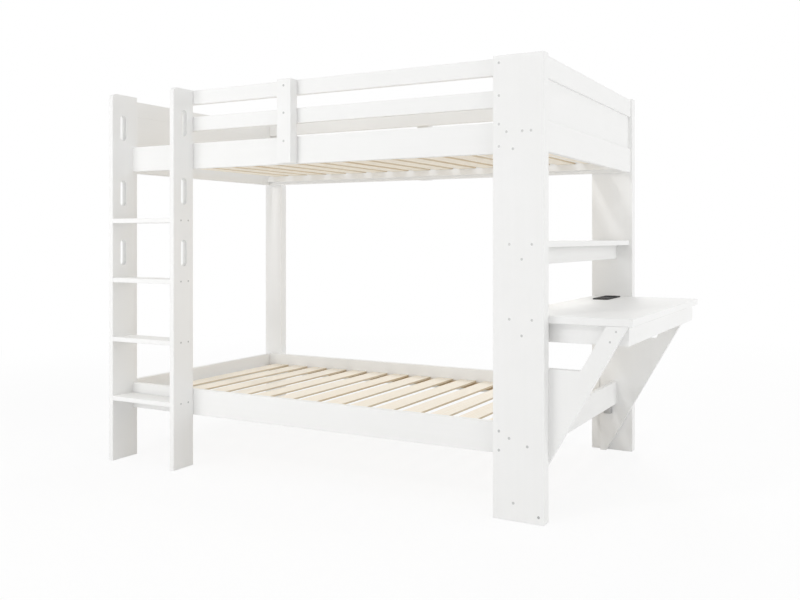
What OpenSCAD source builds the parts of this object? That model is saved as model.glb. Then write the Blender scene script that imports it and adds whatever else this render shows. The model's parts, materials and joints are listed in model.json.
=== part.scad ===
// Bunk bed with a fixed desk and a shelf at its right end, which make an L in plan.
// Lengths are in millimetres. X runs along the bed towards the desk, Y from the ladder side
// to the back, Z up. Inside this file x = 0 is the left end's inner face, y = 0 the front
// rails' inner face and z = 0 the floor; placed() moves that corner to the bed's own middle.

/* [Mattress space] */
// Length of the mattress
mattress_l = 2000; // [1600:10:2400]
// Width of the mattress
mattress_w = 900; // [750:10:1200]
// Free length left beside the mattress
play_l = 19; // [5:1:40]
// Free width left beside the mattress
play_w = 28; // [5:1:40]

/* [Heights] */
// Height of the posts and of the ladder
frame_h = 1605; // [1340:5:1930]
// From the underside of the upper side rails to the top of the posts
upper_frame_h = 335; // [300:5:400]
// Underside of the lower side rails
lower_rail_z = 215; // [150:5:260]
// Top face of the desk
desk_z = 706; // [590:1:850]
// Top face of the shelf
shelf_z = 962; // [930:1:1150]

/* [Posts] */
// Width of the two posts at the desk end
post_w = 195; // [160:1:240]
// Thickness of every post
post_t = 40; // [33:1:50]
// Width of the back left post
left_post_w = 114; // [95:1:140]
// How far the back left post reaches past the left end
left_post_overhang = 30; // [0:1:60]
// From a right post's inner edge to the lower end rail
post_lap = 105; // [80:1:130]

/* [Rails] */
// Thickness of rails and end boards
rail_t = 22; // [18:1:28]
// Height of the four side rails
side_rail_h = 109; // [90:1:130]
// Height of the guard rails
guard_h = 60; // [50:1:70]
// Height of the lower end rails
end_rail_h = 103; // [85:1:120]
// Rounding of the long edges of boards
edge_r = 2.5; // [1:0.5:5]

/* [Upper ends] */
// Height of the top rail of each upper end
end_top_h = 78; // [60:1:95]
// How far the upper ends stay below the top of the posts
end_top_drop = 3; // [0:1:20]
// How far the right end stays inside the posts' outer edges
end_inset = 10; // [0:1:30]
// Thickness of the panel in each upper end
end_panel_t = 12; // [8:1:16]
// Depth of the rebates that hold that panel
panel_tongue = 8; // [5:1:12]
// Width of the stiles of the left end
end_stile_w = 60; // [50:1:80]

/* [Battens] */
// Width of the upright battens on the guard rails
batten_w = 70; // [50:1:90]
// Left edge of the front batten
front_batten_x = 948; // [700:1:1200]
// Left edge of the back batten
back_batten_x = 959; // [700:1:1200]

/* [Ladder] */
// Left face of the ladder leg, from the left end
leg_x = 60; // [30:1:120]
// Thickness of the ladder's leg and stile
leg_t = 24; // [20:1:30]
// How far they stand out in front of the posts
leg_reach = 62; // [50:1:80]
// Clear width between leg and stile
step_l = 344; // [300:1:420]
// Depth of a step
step_d = 90; // [75:1:95]
// Thickness of a step
step_t = 20; // [16:1:25]
// Top face of the first step
first_step_z = 283; // [250:1:340]
// From the top step to the underside of the upper side rails
top_step_drop = 213; // [170:1:250]
// Width of a hand slot
hand_slot_w = 28; // [24:1:34]
// Height of a hand slot
hand_slot_h = 112; // [90:1:130]

/* [Slats] */
// Slats in each bunk
slat_n = 15; // [10:1:17]
// Width of a slat
slat_w = 88; // [70:1:100]
// Thickness of a slat
slat_t = 9; // [8:1:14]
// Free length between the left end and the first slat
first_slat_gap = 46; // [30:1:90]
// Free length between the last slat and the lower right end rail
last_slat_gap = 46; // [30:1:90]
// Width of the ledges under the slats
ledge_w = 20; // [16:1:30]
// Height of the ledges
ledge_h = 30; // [24:1:36]
// From the side rails' undersides to the ledges
ledge_rise = 15; // [8:1:24]

/* [Desk and shelf] */
// Depth of the desk top, away from the bed
desk_d = 481; // [400:1:580]
// Thickness of the desk top
desk_t = 26; // [20:1:32]
// From the posts' inner edges to the desk top
desk_inset = 11; // [0:1:30]
// How far the desk top stands out past the outer apron
desk_overhang = 18; // [5:1:40]
// Height of the aprons under the desk
apron_h = 66; // [50:1:80]
// Thickness of the shelf rail and of the inner apron
slim_t = 18; // [15:1:22]
// Depth of the shelf
shelf_d = 148; // [120:1:160]
// Thickness of the shelf
shelf_t = 22; // [18:1:28]
// From the posts' inner edges to the shelf
shelf_inset = 33; // [20:1:40]
// Height of the rail under the shelf
shelf_rail_h = 62; // [45:1:80]
// From the posts' inner edges to the shelf rail and the inner apron
slim_rail_inset = 102; // [85:1:110]

/* [Brace panels] */
// From the posts' inner edges to the brace panels
brace_inset = 48; // [40:1:60]
// Length of a brace panel's foot on the floor
brace_toe = 28; // [15:1:60]
// Level width of the slanted arm
brace_arm_w = 73; // [55:1:95]
// Gap between the panel's upright part and the aprons
brace_drop = 89; // [60:1:140]

/* [Cable outlet] */
// Width of the outlet's flange, along X
outlet_w = 70; // [60:1:90]
// Length of the outlet's flange, along Y
outlet_l = 184; // [150:1:220]
// From the posts' inner edges to the outlet
outlet_inset = 83; // [70:1:100]
// From the desk's back edge to the outlet
outlet_back = 42; // [20:1:80]
// Length of the open cable slot behind the lid
cable_slot_l = 46; // [30:1:70]
// Height of the flange above the desk
flange_h = 5; // [4:0.5:7]

/* [Fasteners] */
// Radius of a bolt's head
bolt_head_r = 5; // [4:0.5:6]
// Radius of a bolt's shank
bolt_r = 3; // [2.5:0.5:4]
// Radius of a wood screw's head
screw_head_r = 4; // [3:0.5:5]
// Radius of a wood screw's shank
screw_r = 2; // [1.5:0.5:2.5]
// Radius of a dowel
dowel_r = 4; // [3:0.5:5]
// How deep a dowel goes into each board
dowel_depth = 15; // [10:1:18]

/* [Hidden] */
$fn = 48;

// Clearances
fit = 0.05;             // round a shank, head or dowel in its hole
hole_end = 0.5;         // past the end of a shank or dowel in its hole
board_play = 0.5;       // at each end of desk, shelf and slats between their neighbours
panel_play = 0.3;       // between a panel's edge and the bottom of its rebate
rail_seam = 2;          // between a lower side rail's end and the brace panel
outlet_play = 0.5;      // round the outlet in the desk, and round its lid
eps = 1;                // how far cutting shapes reach past a face

// Plan
bunk_l = mattress_l + play_l;
inner_w = mattress_w + play_w;
front_y = -rail_t;                      // the posts' inner faces
post_front_y = -rail_t - post_t;
ladder_front_y = post_front_y - leg_reach;
post_x = bunk_l - post_lap;
left_post_x = -rail_t - left_post_overhang;
right_end_x = post_x + post_w - end_inset - rail_t;
stile_x = leg_x + leg_t + step_l;
between_posts = inner_w + 2 * rail_t;

// Heights
step_n = 4;                             // one for each step node
upper_rail_z = frame_h - upper_frame_h;
upper_rail_top = upper_rail_z + side_rail_h;
top_guard_z = frame_h - guard_h;
middle_guard_z = (upper_rail_top + top_guard_z - guard_h) / 2;
end_rail_z = lower_rail_z + (side_rail_h - end_rail_h) / 2;
end_top_z = frame_h - end_top_drop - end_top_h;
step_pitch = (upper_rail_z - top_step_drop - first_step_z) / (step_n - 1);
top_step_z = upper_rail_z - top_step_drop;
desk_under = desk_z - desk_t;
apron_z = desk_under - apron_h;
shelf_under = shelf_z - shelf_t;
shelf_rail_z = shelf_under - shelf_rail_h;

// Ladder details
leg_corner_r = 22;
slot_front = 39;                        // from the ladder's front edge to a hand slot
top_slot_drop = 146;                    // from the ladder's top to the middle of the top slot
middle_slot_lift = 6.5;                 // above halfway from the top step to the side rail
low_slot_drop = 9;                      // below the middle of the gap under the top step
hand_slots = [
    frame_h - top_slot_drop,
    upper_rail_z - top_step_drop / 2 + middle_slot_lift,
    top_step_z - (step_pitch + step_t) / 2 - low_slot_drop
];
step_front = 2;                         // how far a step stays behind the ladder's front
step_y = ladder_front_y + step_front;
step_screw_ys = [step_y + 0.4 * step_d, step_y + 0.82 * step_d];
step_screw_drop = 10;                   // below a step's top face

// Slats and ledges
slat_pitch = (bunk_l - first_slat_gap - last_slat_gap - slat_w) / (slat_n - 1);
slat_screw_xs = [for (i = [0 : slat_n - 1]) first_slat_gap + slat_w / 2 + i * slat_pitch];
ledge_dowel_xs = [for (i = [0 : 2 : slat_n - 2]) slat_screw_xs[i] + slat_pitch / 2];

// Desk, shelf and brace panels
desk_x = post_x + desk_inset;
outer_apron_x = desk_x + desk_d - desk_overhang - rail_t;
inner_apron_x = post_x + slim_rail_inset;
shelf_x = post_x + shelf_inset;
brace_x = post_x + brace_inset;
brace_foot_x = brace_x + brace_toe;
brace_head_x = outer_apron_x + rail_t;
brace_slope = (brace_head_x - brace_foot_x) / desk_under;
brace_web_z = apron_z - brace_drop;

// Cable outlet: flange on the desk, skirt through it, lid and open slot inside
outlet_x = post_x + outlet_inset;
outlet_y = inner_w + rail_t - board_play - outlet_back - outlet_l;
flange_rim = 10;                        // width of the flange's rim round the lid
flange_corner_r = 8;
skirt_inset = 7;                        // from the flange's edge to the skirt
skirt_d = 22;                           // depth of the skirt in the desk
lid_t = 3;
lid_recess = 0.5;                       // of the lid below the flange's top
lid_seat_w = 4;                         // width of the seats under the lid's sides
lip_w = 5;                              // finger lip at the lid's free end
lip_h = 1.5;
barrel_r = 2.3;
pin_r = 1.2;
pin_l = 8;
pin_in_rim = 3.5;                       // how far a hinge pin reaches into the rim
press = 0.01;                           // round a hinge pin in the lid
well_x = outlet_x + flange_rim;
well_y = outlet_y + flange_rim;
well_w = outlet_w - 2 * flange_rim;
well_l = outlet_l - 2 * flange_rim;
slot_y = well_y + well_l - cable_slot_l;
hinge_y = well_y + barrel_r + 2 * outlet_play;
hinge_z = desk_z + flange_h - lid_recess - lid_t / 2;

// Fasteners
bolt_head_h = 3;
screw_head_h = 2;
tip_cover = 6;                          // board left behind the tip of a bolt or screw
rail_bolt_l = post_t + rail_t - tip_cover;
end_bolt_l = post_t + 45;               // into the ends of shelf and aprons
desk_bolt_l = post_t + outlet_back;     // stays clear of the outlet
step_screw_l = leg_t + 40;
ladder_screw_l = rail_t + 30;
brace_screw_l = 2 * rail_t - tip_cover;
slat_screw_l = slat_t + 14;
key_r = 2.2;                            // hexagonal key socket in a bolt's head
key_depth = 1.8;
slot_half_l = 2;                        // half of a slot in a screw's cross recess
slot_w = 1;
slot_depth = 1;
cap_r = 5;
cap_h = 2;
cap_stem_l = 10;

// Bolt places on a right post: insets are from its inner edge, rises from a rail's underside
rail_bolt_x = post_x + 24;
guard_bolt_lift = 4;                    // above the middle of a guard rail
upper_bolt_rises = [20, side_rail_h - 12];
lower_bolt_rises = [23, side_rail_h - 20];
row_bolt_insets = [53, 113, 146];
row_bolt_rise = side_rail_h - 40;
low_bolt_inset = 78;
low_bolt_rise = 9;
board_bolt_insets = [64, 149];
shelf_rail_bolt_drop = 40;              // below the shelf's underside
inner_apron_bolt_drop = 42;             // below the desk's underside
cap_inset = 21;                         // from the post's outer edge
cap_z = 26;

// The same places as [x, z]
guard_bolts = [[rail_bolt_x, top_guard_z + guard_h / 2 + guard_bolt_lift]];
middle_guard_bolts = [[rail_bolt_x, middle_guard_z + guard_h / 2 + guard_bolt_lift]];
side_bolts = [for (rise = upper_bolt_rises) [rail_bolt_x, upper_rail_z + rise]];
row_bolts = [for (inset = row_bolt_insets) [post_x + inset, upper_rail_z + row_bolt_rise]];
low_bolts = [[post_x + low_bolt_inset, upper_rail_z + low_bolt_rise]];
upper_rail_bolts = concat(side_bolts, row_bolts, low_bolts);
lower_side_bolts = [for (rise = lower_bolt_rises) [rail_bolt_x, lower_rail_z + rise]];
brace_bolts = [
    [brace_x + 15, brace_web_z - 242],
    [brace_x + 84, brace_web_z - 264],
    [brace_foot_x + 3, 62]
];
board_bolt_xs = [for (inset = board_bolt_insets) post_x + inset];
slim_bolt_x = inner_apron_x + slim_t / 2;
shelf_bolts = [for (x = board_bolt_xs) [x, shelf_z - shelf_t / 2]];
shelf_rail_bolts = [[slim_bolt_x, shelf_under - shelf_rail_bolt_drop]];
desk_bolts = [for (x = board_bolt_xs) [x, desk_z - desk_t / 2]];
inner_apron_bolts = [[slim_bolt_x, desk_under - inner_apron_bolt_drop]];
cap_places = [[post_x + post_w - cap_inset, cap_z]];
left_bolt_x = left_post_x + left_post_w - 24;

// Batten bolts, ladder screws and brace screws, as [x, z]
function batten_bolt_zs(middle) = concat(
    [top_guard_z + guard_h / 2 + 3, upper_rail_z + side_rail_h - 22],
    middle ? [middle_guard_z + guard_h / 2 + 7] : []
);
ladder_screw_rises = [50, 85];
leg_screws = [for (z = [lower_rail_z, upper_rail_z], rise = ladder_screw_rises)
    [leg_x + leg_t / 2, z + rise]];
stile_screws = [for (p = leg_screws) [stile_x + leg_t / 2, p.y]];
stile_guard_screws = [for (z = [middle_guard_z, top_guard_z])
    [stile_x + leg_t / 2, z + guard_h / 2]];
brace_screw_places = [
    [outer_apron_x - 17, desk_under - 17],
    [outer_apron_x - 38, desk_under - 52]
];

// Moulded blocks in the lower bunk's right corners, under the ledges
block_w = 34;
block_h = 57;
block_z = lower_rail_z + ledge_rise - block_h;
block_dowels = [[bunk_l - block_w / 2, block_z + block_h / 2]];

// Dowel places, as [x, z] for dowels along Y
board_mid = rail_t / 2;
end_dowel_rises = [22, 58];             // above the underside of a board
right_end_dowels = [for (z = [upper_rail_z + 20, end_top_z], rise = end_dowel_rises)
    [right_end_x + board_mid, z + rise]];
left_side_dowels = [for (rise = end_dowel_rises) [-board_mid, upper_rail_z + 20 + rise]];
left_guard_dowels = [for (rise = [14, 40]) [-board_mid, top_guard_z + rise]];
left_frame_dowels = concat(
    left_side_dowels,
    [for (rise = end_dowel_rises) [-board_mid, end_top_z + rise - panel_tongue / 2]]
);
lower_rail_dowels = [for (rise = end_dowel_rises) [-board_mid, end_rail_z + rise]];
lower_brace_dowels = [for (rise = end_dowel_rises) [bunk_l + board_mid, end_rail_z + rise]];
apron_dowels = [[outer_apron_x + 2 * dowel_r, desk_under - 2 * dowel_r]];

WHITE = "white";
PINE = "burlywood";
STEEL = "silver";
GREY = "darkgray";
BLACK = "dimgray";
BEECH = "tan";

// Placing

module placed() {
    left = left_post_x;
    right = desk_x + desk_d;
    back = inner_w + rail_t + post_t;
    translate([-(left + right) / 2, -(ladder_front_y + back) / 2, 0]) children();
}

// The same thing on the back of the bed
module at_back() {
    translate([0, inner_w, 0]) mirror([0, 1, 0]) children();
}

module on_both_sides() {
    children();
    at_back() children();
}

// Children's +Z turned into +Y, starting at each [x, z] place on the plane y
module facing_back(places, y) {
    for (p = places) translate([p.x, y, p.y]) rotate([-90, 0, 0]) children();
}

// Children's +Z turned into -Y
module facing_front(places, y) {
    for (p = places) translate([p.x, y, p.y]) rotate([90, 0, 0]) children();
}

// Shapes

module rounded_rect(w, h, r) {
    difference() {
        square([w, h]);
        for (i = [0, 1], j = [0, 1])
            translate([i * w, j * h]) mirror([i, 0]) mirror([0, j]) corner_waste(r);
    }
}

module corner_waste(r) {
    difference() {
        translate([-eps, -eps]) square(r + eps);
        translate([r, r]) circle(r = r);
    }
}

// Boards with their long edges rounded; p is the lowest corner and s the size
module board_x(p, s, r = edge_r) {
    translate(p) rotate([90, 0, 90]) linear_extrude(s.x) rounded_rect(s.y, s.z, r);
}

module board_y(p, s, r = edge_r) {
    translate([p.x, p.y + s.y, p.z]) rotate([90, 0, 0]) linear_extrude(s.y)
        rounded_rect(s.x, s.z, r);
}

module board_z(p, s, r = edge_r) {
    translate(p) linear_extrude(s.z) rounded_rect(s.x, s.y, r);
}

// A board with its ends rounded too
module eased_board(p, s, r = edge_r) {
    intersection() {
        board_x(p, s, r);
        board_y(p, s, r);
        board_z(p, s, r);
    }
}

module obround(w, h) {
    translate([-w / 2, -(h - w) / 2]) square([w, h - w]);
    for (side = [-1, 1]) translate([0, side * (h - w) / 2]) circle(d = w);
}

// Fasteners, head face at z = 0 and shank towards +Z, and the room that each one takes

module bolt(l) {
    difference() {
        union() {
            cylinder(r = bolt_head_r, h = bolt_head_h);
            cylinder(r = bolt_r, h = l);
        }
        translate([0, 0, -eps]) cylinder(r = key_r, h = key_depth + eps, $fn = 6);
    }
}

module bolt_room(l) {
    translate([0, 0, -eps]) cylinder(r = bolt_head_r + fit, h = bolt_head_h + eps);
    cylinder(r = bolt_r + fit, h = l + hole_end);
}

module screw(l) {
    difference() {
        union() {
            cylinder(r = screw_head_r, h = screw_head_h);
            cylinder(r = screw_r, h = l);
        }
        for (turn = [0, 90])
            rotate([0, 0, turn]) translate([-slot_half_l, -slot_w / 2, -eps])
                cube([2 * slot_half_l, slot_w, eps + slot_depth]);
    }
}

module screw_room(l) {
    translate([0, 0, -eps]) cylinder(r = screw_head_r + fit, h = screw_head_h + eps);
    cylinder(r = screw_r + fit, h = l + hole_end);
}

module dowel() {
    translate([0, 0, -dowel_depth]) cylinder(r = dowel_r, h = 2 * dowel_depth);
}

module dowel_room() {
    room = dowel_depth + hole_end;
    translate([0, 0, -room]) cylinder(r = dowel_r + fit, h = 2 * room);
}

module cap_plug() {
    cylinder(r = cap_r, h = cap_h);
    cylinder(r = bolt_r, h = cap_stem_l);
}

module cap_room() {
    translate([0, 0, -eps]) cylinder(r = cap_r + fit, h = cap_h + eps);
    cylinder(r = bolt_r + fit, h = cap_stem_l + hole_end);
}

// Posts

module right_post(guards) {
    rails = concat(guards, upper_rail_bolts, lower_side_bolts, brace_bolts);
    ends = concat(shelf_bolts, shelf_rail_bolts, inner_apron_bolts);
    difference() {
        eased_board([post_x, post_front_y, 0], [post_w, post_t, frame_h]);
        facing_back(rails, post_front_y) bolt_room(rail_bolt_l);
        facing_back(ends, post_front_y) bolt_room(end_bolt_l);
        facing_back(desk_bolts, post_front_y) bolt_room(desk_bolt_l);
        facing_back(cap_places, post_front_y) cap_room();
        facing_back(right_end_dowels, front_y) dowel_room();
    }
}

module front_right_post() {
    color(WHITE) placed() right_post(concat(guard_bolts, middle_guard_bolts));
}

module back_right_post() {
    color(WHITE) placed() at_back() right_post(guard_bolts);
}

function left_bolts() = [for (p = concat(guard_bolts, side_bolts, lower_side_bolts))
    [left_bolt_x, p.y]];

module back_left_post() {
    color(WHITE) placed() at_back() difference() {
        eased_board([left_post_x, post_front_y, 0], [left_post_w, post_t, frame_h]);
        facing_back(left_bolts(), post_front_y) bolt_room(rail_bolt_l);
    }
}

// Ladder

// An upright plank of the ladder, with its front top corner rounded and its hand slots
module ladder_plank(x, back_y) {
    depth = back_y - ladder_front_y;
    intersection() {
        eased_board([x, ladder_front_y, 0], [leg_t, depth, frame_h]);
        translate([x - eps, 0, 0]) rotate([90, 0, 90]) linear_extrude(leg_t + 2 * eps)
            difference() {
                translate([ladder_front_y - eps, -eps])
                    square([depth + 2 * eps, frame_h + 2 * eps]);
                translate([ladder_front_y, frame_h]) mirror([0, 1])
                    corner_waste(leg_corner_r);
                for (z = hand_slots)
                    translate([ladder_front_y + slot_front + hand_slot_w / 2, z])
                        obround(hand_slot_w, hand_slot_h);
            }
    }
}

module rail_notch(z) {
    translate([leg_x - eps, front_y, z]) cube([leg_t + 2 * eps, rail_t + eps, side_rail_h]);
}

// Turned so that heads lie on the outer faces of leg and stile
module step_screw_places() {
    for (i = [0 : step_n - 1], y = step_screw_ys) {
        z = first_step_z + i * step_pitch - step_screw_drop;
        translate([leg_x, y, z]) rotate([0, 90, 0]) children();
        translate([stile_x + leg_t, y, z]) rotate([0, -90, 0]) children();
    }
}

module ladder_leg() {
    color(WHITE) placed() difference() {
        ladder_plank(leg_x, 0);
        rail_notch(lower_rail_z);
        rail_notch(upper_rail_z);
        facing_front(leg_screws, 0) screw_room(ladder_screw_l);
        step_screw_places() screw_room(step_screw_l);
    }
}

module ladder_stile() {
    color(WHITE) placed() difference() {
        ladder_plank(stile_x, front_y);
        facing_front(concat(stile_screws, stile_guard_screws), 0)
            screw_room(ladder_screw_l);
        step_screw_places() screw_room(step_screw_l);
    }
}

module step(i) {
    color(WHITE) placed() difference() {
        board_x([leg_x + leg_t, step_y, first_step_z + i * step_pitch - step_t],
            [step_l, step_d, step_t]);
        step_screw_places() screw_room(step_screw_l);
    }
}

module step_1() { step(0); }
module step_2() { step(1); }
module step_3() { step(2); }
module step_4() { step(3); }

// Side rails, guard rails and battens

module batten_bolt_places(x, middle) {
    facing_back([for (z = batten_bolt_zs(middle)) [x + batten_w / 2, z]], post_front_y)
        children();
}

// Dowels between a side rail whose underside is at rail_z and its ledge
module ledge_dowel_places(rail_z) {
    z = rail_z + ledge_rise + ledge_h / 2;
    facing_back([for (x = ledge_dowel_xs) [x, z]], 0) children();
}

module upper_side_rail() {
    difference() {
        eased_board([-rail_t, front_y, upper_rail_z],
            [right_end_x + rail_t, rail_t, side_rail_h]);
        facing_back(upper_rail_bolts, post_front_y) bolt_room(rail_bolt_l);
        ledge_dowel_places(upper_rail_z) dowel_room();
        facing_back(left_side_dowels, 0) dowel_room();
    }
}

module upper_front_side_rail() {
    color(WHITE) placed() difference() {
        upper_side_rail();
        batten_bolt_places(front_batten_x, true) bolt_room(rail_bolt_l);
        facing_front(concat(leg_screws, stile_screws), 0) screw_room(ladder_screw_l);
    }
}

module upper_back_side_rail() {
    color(WHITE) placed() at_back() difference() {
        upper_side_rail();
        batten_bolt_places(back_batten_x, false) bolt_room(rail_bolt_l);
        facing_back(left_bolts(), post_front_y) bolt_room(rail_bolt_l);
    }
}

module front_guard_rail(z) {
    color(WHITE) placed() difference() {
        eased_board([stile_x, front_y, z], [right_end_x - stile_x, rail_t, guard_h]);
        facing_back(concat(guard_bolts, middle_guard_bolts), post_front_y)
            bolt_room(rail_bolt_l);
        batten_bolt_places(front_batten_x, true) bolt_room(rail_bolt_l);
        facing_front(stile_guard_screws, 0) screw_room(ladder_screw_l);
    }
}

module front_top_guard_rail() { front_guard_rail(top_guard_z); }
module front_middle_guard_rail() { front_guard_rail(middle_guard_z); }

module back_guard_rail() {
    color(WHITE) placed() at_back() difference() {
        eased_board([-rail_t, front_y, top_guard_z],
            [right_end_x + rail_t, rail_t, guard_h]);
        facing_back(concat(guard_bolts, left_bolts()), post_front_y)
            bolt_room(rail_bolt_l);
        batten_bolt_places(back_batten_x, false) bolt_room(rail_bolt_l);
        facing_back(left_guard_dowels, 0) dowel_room();
    }
}

module batten(x, middle) {
    difference() {
        eased_board([x, post_front_y, upper_rail_z], [batten_w, post_t, upper_frame_h]);
        batten_bolt_places(x, middle) bolt_room(rail_bolt_l);
    }
}

module front_batten() {
    color(WHITE) placed() batten(front_batten_x, true);
}

module back_batten() {
    color(WHITE) placed() at_back() batten(back_batten_x, false);
}

// Upper ends: rails and stiles whose rebates hold a thin panel flush with the inner face

panel_y = end_stile_w - panel_tongue;
panel_low_z = upper_rail_top - panel_tongue;
panel_high_z = end_top_z + panel_tongue;

module left_end_panel() {
    color(WHITE) placed()
        translate([-end_panel_t, panel_y + panel_play, panel_low_z + panel_play])
            cube([end_panel_t, inner_w - 2 * (panel_y + panel_play),
                panel_high_z - panel_low_z - 2 * panel_play]);
}

// Room that the left end's panel takes in its rails and stiles
module left_panel_room() {
    translate([-end_panel_t, panel_y, panel_low_z])
        cube([end_panel_t + eps, inner_w - 2 * panel_y, panel_high_z - panel_low_z]);
}

module left_end_rail_shape(z, h) {
    difference() {
        board_y([-rail_t, end_stile_w, z], [rail_t, inner_w - 2 * end_stile_w, h]);
        left_panel_room();
        on_both_sides() facing_back(left_frame_dowels, end_stile_w) dowel_room();
    }
}

module left_end_top_rail() {
    color(WHITE) placed() left_end_rail_shape(end_top_z, end_top_h);
}

module left_end_bottom_rail() {
    color(WHITE) placed() left_end_rail_shape(upper_rail_z, side_rail_h);
}

module left_end_stile() {
    difference() {
        board_z([-rail_t, 0, upper_rail_z],
            [rail_t, end_stile_w, frame_h - end_top_drop - upper_rail_z]);
        left_panel_room();
        facing_back(left_frame_dowels, end_stile_w) dowel_room();
        facing_back(left_side_dowels, 0) dowel_room();
    }
}

module left_end_front_stile() {
    color(WHITE) placed() left_end_stile();
}

module left_end_back_stile() {
    color(WHITE) placed() at_back() difference() {
        left_end_stile();
        facing_back(left_guard_dowels, 0) dowel_room();
    }
}

module right_end_panel() {
    color(WHITE) placed()
        translate([right_end_x, front_y, panel_low_z + panel_play])
            cube([end_panel_t, between_posts, panel_high_z - panel_low_z - 2 * panel_play]);
}

module right_end_rail_shape(z, h) {
    difference() {
        board_y([right_end_x, front_y, z], [rail_t, between_posts, h]);
        translate([right_end_x - eps, front_y - eps, panel_low_z])
            cube([end_panel_t + eps, between_posts + 2 * eps, panel_high_z - panel_low_z]);
        on_both_sides() facing_back(right_end_dowels, front_y) dowel_room();
    }
}

module right_end_top_rail() {
    color(WHITE) placed() right_end_rail_shape(end_top_z, end_top_h);
}

module right_end_bottom_rail() {
    color(WHITE) placed() right_end_rail_shape(upper_rail_z, side_rail_h);
}

// Ledges and slats

module ledge(rail_z, l) {
    difference() {
        board_x([board_play, 0, rail_z + ledge_rise], [l - 2 * board_play, ledge_w, ledge_h],
            edge_r / 2);
        ledge_dowel_places(rail_z) dowel_room();
        slat_screw_places(rail_z) screw_room(slat_screw_l);
    }
}

module slat_screw_places(rail_z) {
    top_z = rail_z + ledge_rise + ledge_h + slat_t;
    for (x = slat_screw_xs) translate([x, ledge_w / 2, top_z]) rotate([180, 0, 0]) children();
}

module slats(rail_z) {
    difference() {
        for (x = slat_screw_xs)
            board_y([x - slat_w / 2, 2 * board_play, rail_z + ledge_rise + ledge_h],
                [slat_w, inner_w - 4 * board_play, slat_t]);
        on_both_sides() slat_screw_places(rail_z) screw_room(slat_screw_l);
    }
}

module upper_front_ledge() {
    color(WHITE) placed() ledge(upper_rail_z, right_end_x);
}

module upper_back_ledge() {
    color(WHITE) placed() at_back() ledge(upper_rail_z, right_end_x);
}

module lower_front_ledge() {
    color(PINE) placed() ledge(lower_rail_z, bunk_l);
}

module lower_back_ledge() {
    color(PINE) placed() at_back() ledge(lower_rail_z, bunk_l);
}

module upper_slats() {
    color(PINE) placed() slats(upper_rail_z);
}

module lower_slats() {
    color(PINE) placed() slats(lower_rail_z);
}

// Lower bunk

module lower_side_rail() {
    difference() {
        eased_board([-rail_t, front_y, lower_rail_z],
            [brace_x - rail_seam + rail_t, rail_t, side_rail_h]);
        facing_back(lower_side_bolts, post_front_y) bolt_room(rail_bolt_l);
        ledge_dowel_places(lower_rail_z) dowel_room();
        facing_back(lower_rail_dowels, 0) dowel_room();
    }
}

module lower_front_side_rail() {
    color(WHITE) placed() difference() {
        lower_side_rail();
        facing_front(concat(leg_screws, stile_screws), 0) screw_room(ladder_screw_l);
    }
}

module lower_back_side_rail() {
    color(WHITE) placed() at_back() difference() {
        lower_side_rail();
        facing_back(left_bolts(), post_front_y) bolt_room(rail_bolt_l);
    }
}

module lower_end_rail(x, dowels) {
    color(WHITE) placed() difference() {
        board_y([x, 0, end_rail_z], [rail_t, inner_w, end_rail_h]);
        on_both_sides() facing_back(dowels, 0) dowel_room();
    }
}

module lower_left_end_rail() { lower_end_rail(-rail_t, lower_rail_dowels); }
module lower_right_end_rail() { lower_end_rail(bunk_l, lower_brace_dowels); }

module corner_blocks() {
    color(GREY) placed() on_both_sides() difference() {
        board_z([bunk_l - block_w, 0, block_z], [block_w, ledge_w, block_h], edge_r / 2);
        facing_back(block_dowels, 0) dowel_room();
    }
}

// Brace panels, desk and shelf

function brace_outer_x(z) = brace_foot_x + brace_slope * z;

module brace_panel() {
    outline = [
        [brace_x, 0],
        [brace_foot_x, 0],
        [brace_head_x, desk_under],
        [brace_head_x - brace_arm_w, desk_under],
        [brace_outer_x(brace_web_z) - brace_arm_w, brace_web_z],
        [brace_x, brace_web_z]
    ];
    difference() {
        rotate([90, 0, 0]) linear_extrude(rail_t) polygon(outline);
        facing_back(brace_bolts, post_front_y) bolt_room(rail_bolt_l);
        facing_back(brace_screw_places, front_y) screw_room(brace_screw_l);
        facing_back(concat(lower_brace_dowels, apron_dowels, block_dowels), 0) dowel_room();
    }
}

module front_brace_panel() {
    color(WHITE) placed() brace_panel();
}

module back_brace_panel() {
    color(WHITE) placed() at_back() brace_panel();
}

module desk_top() {
    color(WHITE) placed() difference() {
        eased_board([desk_x, front_y + board_play, desk_under],
            [desk_d, between_posts - 2 * board_play, desk_t]);
        on_both_sides() facing_back(desk_bolts, post_front_y) bolt_room(desk_bolt_l);
        translate([outlet_x + skirt_inset - outlet_play, outlet_y + skirt_inset - outlet_play,
            desk_under - eps])
            cube([outlet_w - 2 * (skirt_inset - outlet_play),
                outlet_l - 2 * (skirt_inset - outlet_play), desk_t + 2 * eps]);
    }
}

// Dowels from the front apron into the two aprons that it lies between
module front_apron_dowel_places() {
    for (x = [inner_apron_x + slim_t, outer_apron_x])
        translate([x, board_mid, apron_z + apron_h / 2]) rotate([0, 90, 0]) children();
}

module front_apron() {
    x = inner_apron_x + slim_t;
    difference() {
        board_x([x, 0, apron_z], [outer_apron_x - x, rail_t, apron_h]);
        facing_back(brace_screw_places, front_y) screw_room(brace_screw_l);
        front_apron_dowel_places() dowel_room();
    }
}

module desk_front_apron() {
    color(WHITE) placed() front_apron();
}

module desk_back_apron() {
    color(WHITE) placed() at_back() front_apron();
}

module desk_outer_apron() {
    color(WHITE) placed() difference() {
        board_y([outer_apron_x, 0, apron_z], [rail_t, inner_w, apron_h]);
        on_both_sides() {
            facing_back(apron_dowels, 0) dowel_room();
            front_apron_dowel_places() dowel_room();
        }
    }
}

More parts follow.
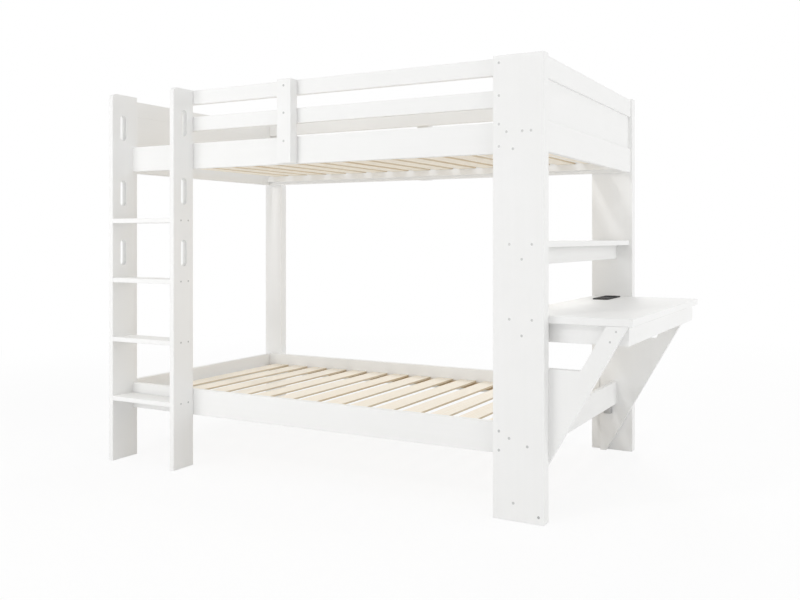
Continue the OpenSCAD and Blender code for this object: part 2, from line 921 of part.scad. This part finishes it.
module desk_inner_apron() {
    color(WHITE) placed() difference() {
        board_y([inner_apron_x, front_y, apron_z], [slim_t, between_posts, apron_h]);
        on_both_sides() {
            facing_back(inner_apron_bolts, post_front_y) bolt_room(end_bolt_l);
            front_apron_dowel_places() dowel_room();
        }
    }
}

module shelf() {
    color(WHITE) placed() difference() {
        eased_board([shelf_x, front_y + board_play, shelf_under],
            [shelf_d, between_posts - 2 * board_play, shelf_t]);
        on_both_sides() facing_back(shelf_bolts, post_front_y) bolt_room(end_bolt_l);
    }
}

module shelf_rail() {
    color(WHITE) placed() difference() {
        board_y([inner_apron_x, front_y, shelf_rail_z], [slim_t, between_posts, shelf_rail_h]);
        on_both_sides() facing_back(shelf_rail_bolts, post_front_y) bolt_room(end_bolt_l);
    }
}

// Cable outlet

module hinge_pin_places() {
    translate([well_x - pin_in_rim, hinge_y, hinge_z]) rotate([0, 90, 0]) children();
    translate([well_x + well_w + pin_in_rim, hinge_y, hinge_z]) rotate([0, -90, 0]) children();
}

// A cylinder along the hinge's axis, as long as the well is wide less play at both ends
module hinge_barrel(r, play) {
    translate([well_x + play, hinge_y, hinge_z]) rotate([0, 90, 0])
        cylinder(r = r, h = well_w - 2 * play);
}

module outlet_frame() {
    under = desk_z - skirt_d - eps;
    through = skirt_d + flange_h + 2 * eps;
    color(BLACK) placed() difference() {
        union() {
            board_z([outlet_x, outlet_y, desk_z], [outlet_w, outlet_l, flange_h],
                flange_corner_r);
            translate([outlet_x + skirt_inset, outlet_y + skirt_inset, desk_z - skirt_d])
                cube([outlet_w - 2 * skirt_inset, outlet_l - 2 * skirt_inset,
                    skirt_d + flange_h / 2]);
        }
        translate([well_x, well_y, hinge_z - lid_t / 2]) cube([well_w, well_l, flange_h]);
        translate([well_x + lid_seat_w, well_y + lid_seat_w, under])
            cube([well_w - 2 * lid_seat_w, well_l - 2 * lid_seat_w, through]);
        translate([well_x, slot_y, under]) cube([well_w, cable_slot_l, through]);
        hinge_pin_places() translate([0, 0, -hole_end])
            cylinder(r = pin_r + fit, h = pin_l);
        hinge_barrel(barrel_r + outlet_play, 0);
    }
}

module outlet_lid() {
    lid_w = well_w - 2 * outlet_play;
    lid_l = slot_y - outlet_play - hinge_y;
    low_z = hinge_z - lid_t / 2 + outlet_play / 2;
    color(BLACK) placed() difference() {
        union() {
            translate([well_x + outlet_play, hinge_y, low_z])
                cube([lid_w, lid_l, lid_t - outlet_play / 2]);
            translate([well_x + outlet_play, slot_y - outlet_play - lip_w, low_z])
                cube([lid_w, lip_w, lid_t - outlet_play / 2 + lip_h]);
            hinge_barrel(barrel_r, outlet_play);
        }
        hinge_pin_places() translate([0, 0, -eps])
            cylinder(r = pin_r + press, h = pin_l + eps + hole_end);
    }
}

module outlet_hinge_pins() {
    color(STEEL) placed() hinge_pin_places() cylinder(r = pin_r, h = pin_l);
}

// Fastener groups

module post_bolts() {
    ends = concat(shelf_bolts, shelf_rail_bolts, inner_apron_bolts);
    rails = concat(guard_bolts, upper_rail_bolts, lower_side_bolts, brace_bolts);
    color(STEEL) placed() {
        on_both_sides() {
            facing_back(rails, post_front_y) bolt(rail_bolt_l);
            facing_back(ends, post_front_y) bolt(end_bolt_l);
            facing_back(desk_bolts, post_front_y) bolt(desk_bolt_l);
        }
        facing_back(middle_guard_bolts, post_front_y) bolt(rail_bolt_l);
        at_back() facing_back(left_bolts(), post_front_y) bolt(rail_bolt_l);
    }
}

module batten_bolts() {
    color(STEEL) placed() {
        batten_bolt_places(front_batten_x, true) bolt(rail_bolt_l);
        at_back() batten_bolt_places(back_batten_x, false) bolt(rail_bolt_l);
    }
}

module ladder_screws() {
    places = concat(leg_screws, stile_screws, stile_guard_screws);
    color(STEEL) placed() facing_front(places, 0) screw(ladder_screw_l);
}

module step_screws() {
    color(STEEL) placed() step_screw_places() screw(step_screw_l);
}

module brace_screws() {
    color(STEEL) placed() on_both_sides() facing_back(brace_screw_places, front_y)
        screw(brace_screw_l);
}

module slat_screws() {
    color(STEEL) placed() on_both_sides() {
        slat_screw_places(upper_rail_z) screw(slat_screw_l);
        slat_screw_places(lower_rail_z) screw(slat_screw_l);
    }
}

module cap_plugs() {
    color(GREY) placed() on_both_sides() facing_back(cap_places, post_front_y) cap_plug();
}

module end_dowels() {
    color(BEECH) placed() {
        on_both_sides() {
            facing_back(right_end_dowels, front_y) dowel();
            facing_back(left_side_dowels, 0) dowel();
            facing_back(left_frame_dowels, end_stile_w) dowel();
        }
        at_back() facing_back(left_guard_dowels, 0) dowel();
    }
}

module rail_dowels() {
    color(BEECH) placed() on_both_sides()
        facing_back(concat(lower_rail_dowels, lower_brace_dowels), 0) dowel();
}

module ledge_dowels() {
    color(BEECH) placed() on_both_sides() {
        ledge_dowel_places(upper_rail_z) dowel();
        ledge_dowel_places(lower_rail_z) dowel();
        facing_back(block_dowels, 0) dowel();
    }
}

module desk_dowels() {
    color(BEECH) placed() on_both_sides() {
        facing_back(apron_dowels, 0) dowel();
        front_apron_dowel_places() dowel();
    }
}

front_right_post();
back_right_post();
back_left_post();
ladder_leg();
ladder_stile();
step_1();
step_2();
step_3();
step_4();
upper_front_side_rail();
upper_back_side_rail();
front_top_guard_rail();
front_middle_guard_rail();
back_guard_rail();
front_batten();
back_batten();
left_end_top_rail();
left_end_bottom_rail();
left_end_panel();
left_end_front_stile();
left_end_back_stile();
right_end_top_rail();
right_end_bottom_rail();
right_end_panel();
upper_front_ledge();
upper_back_ledge();
upper_slats();
lower_front_side_rail();
lower_back_side_rail();
lower_left_end_rail();
lower_right_end_rail();
lower_front_ledge();
lower_back_ledge();
lower_slats();
corner_blocks();
front_brace_panel();
back_brace_panel();
desk_top();
desk_front_apron();
desk_back_apron();
desk_outer_apron();
desk_inner_apron();
shelf();
shelf_rail();
outlet_frame();
outlet_lid();
outlet_hinge_pins();
post_bolts();
batten_bolts();
ladder_screws();
step_screws();
brace_screws();
slat_screws();
cap_plugs();
end_dowels();
rail_dowels();
ledge_dowels();
desk_dowels();
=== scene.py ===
"""Looks of the bunk bed: camera, materials of the boards, slats and fittings, floor and light."""

import json
import math

import bmesh
import bpy
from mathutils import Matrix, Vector


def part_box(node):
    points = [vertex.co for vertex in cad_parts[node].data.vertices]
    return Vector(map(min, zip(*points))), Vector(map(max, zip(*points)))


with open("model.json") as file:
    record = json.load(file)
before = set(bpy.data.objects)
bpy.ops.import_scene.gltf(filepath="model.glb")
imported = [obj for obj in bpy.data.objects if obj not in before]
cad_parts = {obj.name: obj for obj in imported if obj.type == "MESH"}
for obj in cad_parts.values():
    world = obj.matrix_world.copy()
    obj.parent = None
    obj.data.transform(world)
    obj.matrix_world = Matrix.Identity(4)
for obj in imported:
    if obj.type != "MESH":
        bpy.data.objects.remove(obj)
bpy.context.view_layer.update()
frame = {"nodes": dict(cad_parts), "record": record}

NODES = frame["nodes"]
MM = 0.001


# Camera, worked out from the photograph as a level camera whose picture is shifted

PHOTO_WIDTH = 800
SENSOR = 36.0  # mm
FOCAL_PIXELS = 784.35
CAMERA_AT = (1.9798, -2.9242, 0.9726)
CAMERA_TURN = 24.37  # degrees about Z, from a view along +Y
SHIFT_X = -130 / PHOTO_WIDTH
SHIFT_Y = -62 / PHOTO_WIDTH
CLIP_START = 0.05
CLIP_END = 100


def make_camera():
    data = bpy.data.cameras.new("camera")
    data.sensor_width = SENSOR
    data.lens = FOCAL_PIXELS / PHOTO_WIDTH * SENSOR
    data.shift_x = SHIFT_X
    data.shift_y = SHIFT_Y
    data.clip_start = CLIP_START
    data.clip_end = CLIP_END
    camera = bpy.data.objects.new("camera", data)
    bpy.context.scene.collection.objects.link(camera)
    camera.location = CAMERA_AT
    camera.rotation_euler = (math.radians(90), 0, math.radians(CAMERA_TURN))
    bpy.context.scene.camera = camera


# Node trees


class Nodes:
    """A node tree, emptied, with short ways to add nodes and link them."""

    def __init__(self, tree):
        self.tree = tree
        tree.nodes.clear()

    def node(self, kind, **settings):
        made = self.tree.nodes.new(kind)
        for key, value in settings.items():
            setattr(made, key, value)
        return made

    def link(self, source, target):
        self.tree.links.new(source, target)

    def feed(self, target, value):
        """Links a socket to target, or writes a plain value on it."""
        if isinstance(value, bpy.types.NodeSocket):
            self.link(value, target)
        else:
            target.default_value = value

    def place(self):
        """The point in the object's own frame, in metres."""
        return self.node("ShaderNodeTexCoord").outputs["Object"]

    def axes(self, vector):
        """The X, Y and Z of a vector."""
        split = self.node("ShaderNodeSeparateXYZ")
        self.link(vector, split.inputs[0])
        return split.outputs

    def channels(self, color):
        """The red, green and blue of a colour."""
        split = self.node("ShaderNodeSeparateColor")
        self.link(color, split.inputs[0])
        return split.outputs

    def facing(self, axis):
        """How squarely a face looks along an axis, either way: 1 straight on, 0 sideways."""
        normal = self.node("ShaderNodeNewGeometry").outputs["True Normal"]
        return self.math("ABSOLUTE", self.axes(normal)[axis])

    def stretch(self, point, scale):
        mapping = self.node("ShaderNodeMapping")
        self.link(point, mapping.inputs["Vector"])
        mapping.inputs["Scale"].default_value = scale
        return mapping.outputs["Vector"]

    def noise(self, point, scale=1.0, detail=2.0, distortion=0.0):
        made = self.node("ShaderNodeTexNoise")
        self.link(point, made.inputs["Vector"])
        made.inputs["Scale"].default_value = scale
        made.inputs["Detail"].default_value = detail
        made.inputs["Distortion"].default_value = distortion
        return made.outputs["Fac"]

    def math(self, operation, a, b=0.0):
        made = self.node("ShaderNodeMath", operation=operation)
        self.feed(made.inputs[0], a)
        self.feed(made.inputs[1], b)
        return made.outputs[0]

    def weigh(self, a, weight_a, b, weight_b):
        """The sum of a and b, each times its weight."""
        return self.math(
            "ADD", self.math("MULTIPLY", a, weight_a), self.math("MULTIPLY", b, weight_b)
        )

    def spread(self, value, low, high, to_low=0.0, to_high=1.0, smooth=False):
        """value from low..high to to_low..to_high, clamped."""
        made = self.node("ShaderNodeMapRange", clamp=True)
        made.interpolation_type = "SMOOTHSTEP" if smooth else "LINEAR"
        self.link(value, made.inputs["Value"])
        made.inputs["From Min"].default_value = low
        made.inputs["From Max"].default_value = high
        made.inputs["To Min"].default_value = to_low
        made.inputs["To Max"].default_value = to_high
        return made.outputs["Result"]

    def blend(self, factor, a, b, kind="MIX"):
        """Colour a with b mixed in, or multiplied in, as far as factor says."""
        made = self.node("ShaderNodeMix", data_type="RGBA", blend_type=kind)
        self.feed(made.inputs["Factor"], factor)
        self.feed(made.inputs["A"], a)
        self.feed(made.inputs["B"], b)
        return made.outputs["Result"]

    def mix_shaders(self, factor, a, b):
        made = self.node("ShaderNodeMixShader")
        self.feed(made.inputs["Fac"], factor)
        self.link(a, made.inputs[1])
        self.link(b, made.inputs[2])
        return made.outputs[0]

    def seen(self):
        """1 for camera, glossy and transmission rays, 0 for all other rays."""
        path = self.node("ShaderNodeLightPath")
        any_ray = path.outputs["Is Camera Ray"]
        for other in ("Is Glossy Ray", "Is Transmission Ray"):
            any_ray = self.math("MAXIMUM", any_ray, path.outputs[other])
        return any_ray

    def bump(self, height, distance, strength, below=None):
        """Relief, in metres times strength, on top of the relief below."""
        made = self.node("ShaderNodeBump")
        made.inputs["Strength"].default_value = strength
        made.inputs["Distance"].default_value = distance
        self.link(height, made.inputs["Height"])
        if below is not None:
            self.link(below, made.inputs["Normal"])
        return made.outputs["Normal"]


class Shader(Nodes):
    """A new material's node tree, with a surface shader and the output."""

    def __init__(self, name):
        self.material = bpy.data.materials.new(name)
        self.material.use_nodes = True
        super().__init__(self.material.node_tree)
        self.surface = self.node("ShaderNodeBsdfPrincipled")
        self.output = self.node("ShaderNodeOutputMaterial")
        self.link(self.surface.outputs["BSDF"], self.output.inputs["Surface"])

    def set(self, **values):
        """Values or links for the surface shader's sockets, with _ for each space."""
        for key, value in values.items():
            self.feed(self.surface.inputs[key.replace("_", " ")], value)


# Materials. Scales are in cycles per metre. A bump is its depth in metres and its strength.

NOISE_BAND = (0.3, 0.7)  # most of a noise texture's values lie in it


def grey(value):
    return (value, value, value, 1.0)


def scales(across, along, axis):
    """Texture scales for a board whose grain runs along axis (0, 1 or 2)."""
    result = [across] * 3
    result[axis] = along
    return result


def finer(scale, times):
    return [value * times for value in scale]


LACQUER_LIGHT = (0.885, 0.885, 0.878, 1.0)
LACQUER_DEEP = (0.865, 0.865, 0.855, 1.0)
LACQUER_ROUGH = (0.48, 0.58)
LACQUER_SPECULAR = 0.25
CLOUD_SCALE = 5.0
GRAIN_ACROSS, GRAIN_ALONG = 60.0, 2.2
PORES_FINER = 9
PEEL_SCALE = 650.0
CLOUD_SHARE, GRAIN_SHARE = 0.6, 0.4  # of the tone
PORE_DEPTH = 0.35  # against the grain's depth
BOARD_END = (0.9, 0.98)  # how squarely an end face looks along the board
END_ROUGHER = 0.12
LACQUER_BUMP = (0.00016, 0.3)
PEEL_BUMP = (0.00005, 0.35)


def white_lacquer(axis):
    """White lacquer with a low sheen, on a board whose grain runs along axis (0, 1 or 2)."""
    s = Shader("white_lacquer_" + "xyz"[axis])
    point = s.place()
    grain_scale = scales(GRAIN_ACROSS, GRAIN_ALONG, axis)
    cloud = s.noise(point, CLOUD_SCALE)
    grain = s.noise(s.stretch(point, grain_scale), detail=4.0, distortion=0.4)
    pores = s.noise(s.stretch(point, finer(grain_scale, PORES_FINER)))
    peel = s.noise(point, PEEL_SCALE, detail=1.0)

    # board ends soak up more lacquer and stay rougher
    end_grain = s.spread(s.facing(axis), *BOARD_END)
    tone = s.weigh(cloud, CLOUD_SHARE, grain, GRAIN_SHARE)
    rough = s.weigh(s.spread(cloud, *NOISE_BAND, *LACQUER_ROUGH), 1.0, end_grain, END_ROUGHER)
    relief = s.weigh(grain, 1.0, pores, PORE_DEPTH)
    s.set(
        Base_Color=s.blend(s.spread(tone, *NOISE_BAND), LACQUER_DEEP, LACQUER_LIGHT),
        Roughness=rough,
        Specular_IOR_Level=LACQUER_SPECULAR,
        Normal=s.bump(relief, *LACQUER_BUMP, below=s.bump(peel, *PEEL_BUMP)),
    )
    return s.material


# Early wood, the palest early wood, and late wood
PINE_TONES = (0.94, 0.88, 0.77, 1.0), (0.96, 0.92, 0.84, 1.0), (0.78, 0.60, 0.38, 1.0)
# the ledges' pine, darkened well past its own tone: painted shade for the deep shade under the
# slats
LEDGE_TONES_PAINTED_SHADE = (0.60, 0.47, 0.31, 1.0), (0.65, 0.53, 0.38, 1.0), (0.42, 0.28, 0.15, 1.0)
KNOT_TONE = (0.32, 0.16, 0.07, 1.0)
# painted shade for the narrow edges between the boards, with a little of a sawn edge's browner tone
SAWN_EDGE_AND_PAINTED_SHADE = (0.74, 0.67, 0.56, 1.0)  # multiplied into the wood's tone
SHADED_EDGE_FACING = (0.6, 0.9)  # how squarely a narrow edge looks across the row
PINE_ROUGH = (0.52, 0.68)
LEVELS_PER_METRE = 2.0  # tells the upper row of boards from the lower one
WOOD_OFFSETS = (7.0, 11.0, 5.0)  # how far apart, at most, two boards lie in the same wood
WOOD_ALONG = 0.045  # the grain's stretch along the board
WARP_FINER = 9
FIBRE_FINER = 420
RING_SCALE = 26.0
RING_WAVE, RING_WAVE_DETAIL, RING_WAVE_SCALE = 5.5, 2.0, 0.9
WARP_IN_RINGS = 0.5
LATE_BAND = (0.85, 1.35)  # of the rings' value, from early wood to late wood
RING_STRENGTH = (0.25, 0.5)  # faintest and strongest board
FIBRE_BAND, FIBRE_STRENGTH = (0.35, 0.7), (0.0, 0.16)
TINT_SHARE, WARP_SHARE = 0.7, 0.3  # of how pale a board is
KNOTS_ACROSS, KNOTS_ALONG = 7.0, 2.6  # cells per metre
KNOT_CHANCE = (0.72, 0.74)  # a cell whose random number lies past these has a knot
KNOT_EDGE = (0.035, 0.075)  # in cells
HALO_EDGE, HALO_STRENGTH = (0.05, 0.2), 0.35
FIBRE_RELIEF, RING_RELIEF = 0.5, 0.7
PINE_BUMP = (0.00018, 0.5)


def own_wood(s, pitch, start):
    """A random colour for each board, and the point inside the wood that it is cut from.

    A board is told by its place in a row along X, one pitch a board, and by its height.
    """
    point = s.place()
    x, _, z = s.axes(point)
    board = s.node("ShaderNodeCombineXYZ")
    s.link(s.math("FLOOR", s.math("DIVIDE", s.math("SUBTRACT", x, start), pitch)), board.inputs[0])
    s.link(s.math("FLOOR", s.math("MULTIPLY", z, LEVELS_PER_METRE)), board.inputs[1])
    seed = s.node("ShaderNodeTexWhiteNoise", noise_dimensions="2D")
    s.link(board.outputs[0], seed.inputs["Vector"])
    wood = s.node("ShaderNodeVectorMath", operation="MULTIPLY_ADD")
    s.link(seed.outputs["Color"], wood.inputs[0])
    wood.inputs[1].default_value = WOOD_OFFSETS
    s.link(point, wood.inputs[2])
    return seed.outputs["Color"], wood.outputs[0]


def knots(s, wood, axis):
    """Knots, few and small, and the darker wood round them, both from 0 to 1."""
    cell = s.node("ShaderNodeTexVoronoi", feature="F1")
    s.link(s.stretch(wood, scales(KNOTS_ACROSS, KNOTS_ALONG, axis)), cell.inputs["Vector"])
    cell.inputs["Scale"].default_value = 1.0
    chosen = s.spread(s.channels(cell.outputs["Color"])[0], *KNOT_CHANCE)
    return [
        s.math("MULTIPLY", s.spread(cell.outputs["Distance"], *edge, 1.0, 0.0, smooth=True), chosen)
        for edge in (KNOT_EDGE, HALO_EDGE)
    ]


def pine(name, tones, axis, pitch, start):
    """Pine with its grain along axis (0 or 1), for boards in a row along X, each its own wood."""
    early, pale, late_wood = tones
    s = Shader(name)
    seed, wood = own_wood(s, pitch, start)
    tint = s.channels(seed)

    # growth rings, as long wavy bands
    wood_scale = scales(1.0, WOOD_ALONG, axis)
    warp = s.noise(s.stretch(wood, finer(wood_scale, WARP_FINER)))
    fibre = s.noise(s.stretch(wood, finer(wood_scale, FIBRE_FINER)), detail=3.0)
    rings = s.node("ShaderNodeTexWave", wave_type="BANDS", bands_direction="YX"[axis])
    s.link(s.stretch(wood, wood_scale), rings.inputs["Vector"])
    rings.inputs["Scale"].default_value = RING_SCALE
    rings.inputs["Distortion"].default_value = RING_WAVE
    rings.inputs["Detail"].default_value = RING_WAVE_DETAIL
    rings.inputs["Detail Scale"].default_value = RING_WAVE_SCALE
    late = s.spread(
        s.weigh(rings.outputs["Fac"], 1.0, warp, WARP_IN_RINGS), *LATE_BAND, smooth=True
    )
    ring_strength = s.spread(tint[2], 0.0, 1.0, *RING_STRENGTH)
    knot, halo = knots(s, wood, axis)

    # from the ground tone up: rings, fibres, the wood round the knots, and the knots
    tone = s.blend(s.weigh(tint[1], TINT_SHARE, warp, WARP_SHARE), early, pale)
    tone = s.blend(s.math("MULTIPLY", late, ring_strength), tone, late_wood)
    tone = s.blend(s.spread(fibre, *FIBRE_BAND, *FIBRE_STRENGTH), tone, late_wood)
    tone = s.blend(s.math("MULTIPLY", halo, HALO_STRENGTH), tone, late_wood)
    tone = s.blend(knot, tone, KNOT_TONE)

    # the faces that look across the row, the slats' narrow edges in the gaps, get painted shade for
    # the shade between the boards, on top of a slightly browner sawn tone
    edge = s.spread(s.facing(1 - axis), *SHADED_EDGE_FACING)
    s.set(
        Base_Color=s.blend(edge, tone, SAWN_EDGE_AND_PAINTED_SHADE, kind="MULTIPLY"),
        Roughness=s.spread(fibre, *NOISE_BAND, *PINE_ROUGH),
        Normal=s.bump(s.weigh(fibre, FIBRE_RELIEF, late, RING_RELIEF), *PINE_BUMP),
    )
    return s.material


ZINC_DEEP = (0.54, 0.54, 0.54, 1.0)
ZINC_LIGHT = (0.65, 0.65, 0.64, 1.0)
ZINC_ROUGH = (0.46, 0.6)
ZINC_PATCHES = 220.0
ZINC_SCRATCHES = (2600.0, 700.0, 2600.0)
ZINC_BUMP = (0.00003, 0.4)


def zinc_steel():
    s = Shader("zinc_steel")
    point = s.place()
    patch = s.noise(point, ZINC_PATCHES, detail=3.0)
    scratch = s.noise(s.stretch(point, ZINC_SCRATCHES))
    s.set(
        Base_Color=s.blend(s.spread(patch, *NOISE_BAND), ZINC_DEEP, ZINC_LIGHT),
        Roughness=s.spread(patch, *NOISE_BAND, *ZINC_ROUGH),
        Metallic=1.0,
        Normal=s.bump(scratch, *ZINC_BUMP),
    )
    return s.material


BEECH_DEEP = (0.46, 0.28, 0.15, 1.0)
BEECH_LIGHT = (0.60, 0.40, 0.24, 1.0)
BEECH_FLECKS = (900.0, 160.0, 900.0)
FLECK_BAND = (0.35, 0.65)
BEECH_ROUGH = 0.6
BEECH_BUMP = (0.0001, 0.5)


def beech():
    s = Shader("beech")
    fleck = s.noise(s.stretch(s.place(), BEECH_FLECKS), detail=3.0)
    s.set(
        Base_Color=s.blend(s.spread(fleck, *FLECK_BAND), BEECH_DEEP, BEECH_LIGHT),
        Roughness=BEECH_ROUGH,
        Normal=s.bump(fleck, *BEECH_BUMP),
    )
    return s.material


PLASTICS = {
    # name: deepest and lightest grey, middle roughness, specular level
    "grey_plastic": (0.42, 0.47, 0.45, 0.5),
    "black_plastic": (0.011, 0.017, 0.55, 0.3),
}
PLASTIC_ROUGH_SPAN = 0.05
PLASTIC_TEXTURE = 1900.0
PLASTIC_PATCHES = 45.0
PLASTIC_BUMP = (0.00006, 0.6)


def moulded_plastic(name):
    """Moulded plastic with a fine spark-eroded texture."""
    deep, light, rough, specular = PLASTICS[name]
    s = Shader(name)
    point = s.place()
    texture = s.noise(point, PLASTIC_TEXTURE)
    patch = s.noise(point, PLASTIC_PATCHES)
    roughest, smoothest = rough + PLASTIC_ROUGH_SPAN, rough - PLASTIC_ROUGH_SPAN
    s.set(
        Base_Color=s.blend(s.spread(patch, *NOISE_BAND), grey(deep), grey(light)),
        Roughness=s.spread(patch, *NOISE_BAND, smoothest, roughest),
        Specular_IOR_Level=specular,
        Normal=s.bump(texture, *PLASTIC_BUMP),
    )
    return s.material


# Which node wears which material

SLATS = ("upper_slats", "lower_slats")
SLAT_COUNT = 15  # in a row, as in the CAD
SLAT_WIDTH = 88 * MM
PINE_LEDGES = ("lower_front_ledge", "lower_back_ledge")
WHOLE_LENGTH = 10.0  # longer than any ledge, so a ledge isn't split into a row


def dress(material, *names):
    for name in names:
        mesh = NODES[name].data
        mesh.materials.clear()
        mesh.materials.append(material)


def dress_all():
    slots = {row["node"]: row["material_slot"] for row in frame["record"]["subparts"]}
    lacquers = [white_lacquer(axis) for axis in range(3)]
    plain = {"zinc_steel": zinc_steel(), "beech": beech()}
    plain.update({name: moulded_plastic(name) for name in PLASTICS})
    for name, slot in slots.items():
        if slot == "white_lacquer":
            low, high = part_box(name)
            size = list(high - low)
            dress(lacquers[size.index(max(size))], name)
        elif slot in plain:
            dress(plain[slot], name)
    low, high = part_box(SLATS[0])
    pitch = (high.x - low.x - SLAT_WIDTH) / (SLAT_COUNT - 1)
    dress(pine("planed_pine", PINE_TONES, 1, pitch, low.x - (pitch - SLAT_WIDTH) / 2), *SLATS)
    # the ledges wear pine darkened with painted shade
    dress(pine("ledge_pine_painted_shade", LEDGE_TONES_PAINTED_SHADE, 0, WHOLE_LENGTH, -WHOLE_LENGTH / 2), *PINE_LEDGES)


# Floor, world and lamps. Camera, glossy and transmission rays see the world and most of the
# floor as plain white. That white sheds no diffuse light on the object.

FLOOR_REACH = 30
FLOOR_DROP = 0.5 * MM
FLOOR_TONE = 0.95
FLOOR_ROUGH = 0.9
FLOOR_WHITE = 0.85  # share of plain white near the object, and the rest shows its shadow
FLOOR_FADE_AT = (2.0, 5.0)  # the shadow thins out from here on, and ends here
WHITE = 1.0  # strength at which the background is white
WORLD_LEVEL = 0.63  # strength of the world's light on the object
LAMPS = (
    # name, place, aimed at, width, power in watts
    ("key", (-1.0, -4.4, 4.6), (0.2, 0.1, 1.0), 0.6, 47.0),
    ("low", (-1.8, -3.6, 0.95), (-0.2, 0.4, 0.4), 1.6, 23.0),
    ("top", (2.4, -1.5, 4.8), (0.6, 0.0, 0.6), 2.0, 18.0),
    ("side", (4.6, 0.9, 1.7), (1.0, 0.0, 0.9), 2.4, 32.0),
    ("fill", (4.8, -3.0, 0.9), (0.0, 0.0, 0.7), 2.4, 19.0),
    ("back", (-0.8, 3.8, 3.2), (-0.2, 0.0, 0.6), 2.4, 52.0),
)


def make_floor():
    mesh = bpy.data.meshes.new("floor")
    grid = bmesh.new()
    bmesh.ops.create_grid(grid, x_segments=1, y_segments=1, size=FLOOR_REACH)
    grid.to_mesh(mesh)
    grid.free()
    floor = bpy.data.objects.new("floor", mesh)
    bpy.context.scene.collection.objects.link(floor)
    floor.location.z = -FLOOR_DROP

    s = Shader("floor")
    s.set(Base_Color=grey(FLOOR_TONE), Roughness=FLOOR_ROUGH, Specular_IOR_Level=0.0)
    away = s.node("ShaderNodeVectorMath", operation="LENGTH")
    s.link(s.place(), away.inputs[0])
    fade = s.spread(away.outputs["Value"], *FLOOR_FADE_AT, FLOOR_WHITE, 1.0, smooth=True)
    white = s.node("ShaderNodeEmission")
    white.inputs["Strength"].default_value = WHITE
    share = s.math("MULTIPLY", s.seen(), fade)
    s.link(
        s.mix_shaders(share, s.surface.outputs["BSDF"], white.outputs[0]),
        s.output.inputs["Surface"],
    )
    mesh.materials.append(s.material)


def make_world():
    world = bpy.data.worlds.new("studio")
    bpy.context.scene.world = world
    world.use_nodes = True
    s = Nodes(world.node_tree)
    levels = []
    for strength in (WORLD_LEVEL, WHITE):
        level = s.node("ShaderNodeBackground")
        level.inputs["Color"].default_value = grey(1.0)
        level.inputs["Strength"].default_value = strength
        levels.append(level.outputs[0])
    output = s.node("ShaderNodeOutputWorld")
    s.link(s.mix_shaders(s.seen(), *levels), output.inputs["Surface"])


def make_lamps():
    for name, place, aim, width, power in LAMPS:
        data = bpy.data.lights.new(name, "AREA")
        data.shape = "DISK"
        data.size = width
        data.energy = power
        lamp = bpy.data.objects.new(name, data)
        bpy.context.scene.collection.objects.link(lamp)
        lamp.location = place
        lamp.rotation_euler = (Vector(aim) - Vector(place)).to_track_quat("-Z", "Y").to_euler()


bpy.context.scene.view_settings.view_transform = "Standard"
make_camera()
dress_all()
make_floor()
make_world()
make_lamps()
